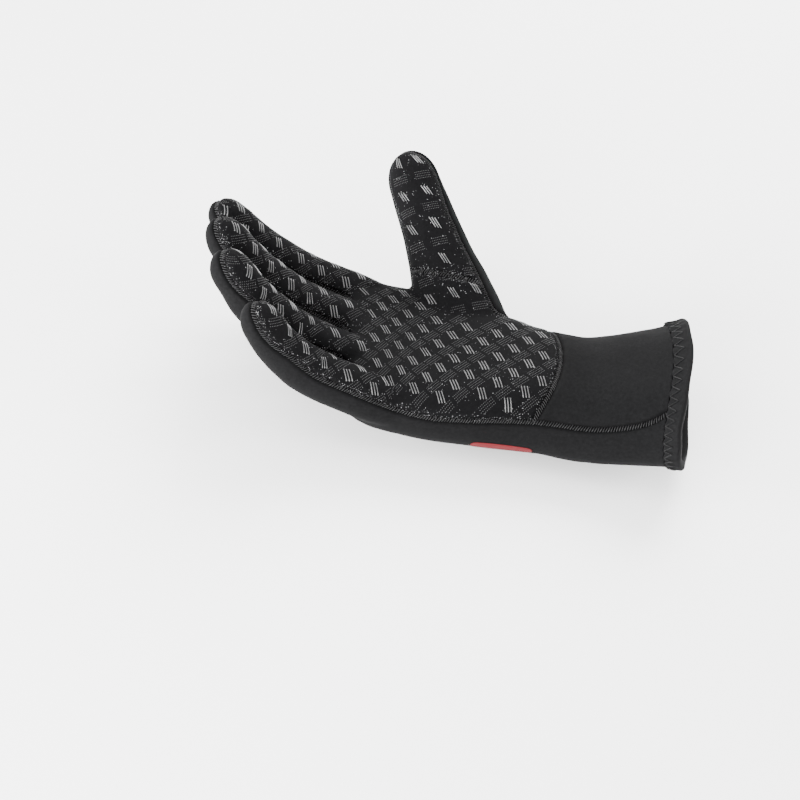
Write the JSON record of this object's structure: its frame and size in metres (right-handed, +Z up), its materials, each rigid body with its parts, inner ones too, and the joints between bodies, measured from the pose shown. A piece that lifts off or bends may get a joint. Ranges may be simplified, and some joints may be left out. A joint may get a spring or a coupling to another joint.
{
  "type": "neoprene glove",
  "caption": "Right-hand neoprene water-sports glove with a plain gauntlet and textured grip palm, hollow, lying on its back with the fingers curled.",
  "frame": {"origin": "middle of the glove's bounding box in plan, on the surface it lies on", "axes": "+Z up out of the palm, +X from the fingers to the gauntlet's mouth, +Y to the thumb's side"},
  "size_m": [0.2544, 0.1572, 0.0789],
  "materials": {
    "grip": "black knit with raised glossy grip bars",
    "neoprene": "matte charcoal jersey over foam",
    "hem": "matte charcoal, zigzag stitched"
  },
  "bodies": {
    "root": {"palm_panel": "grip", "thumb_palm": "grip", "cuff_palm": "neoprene", "back_panel": "neoprene", "middle_back": "neoprene", "ring_back": "neoprene", "hem_band": "hem"}
  },
  "joints": []
}
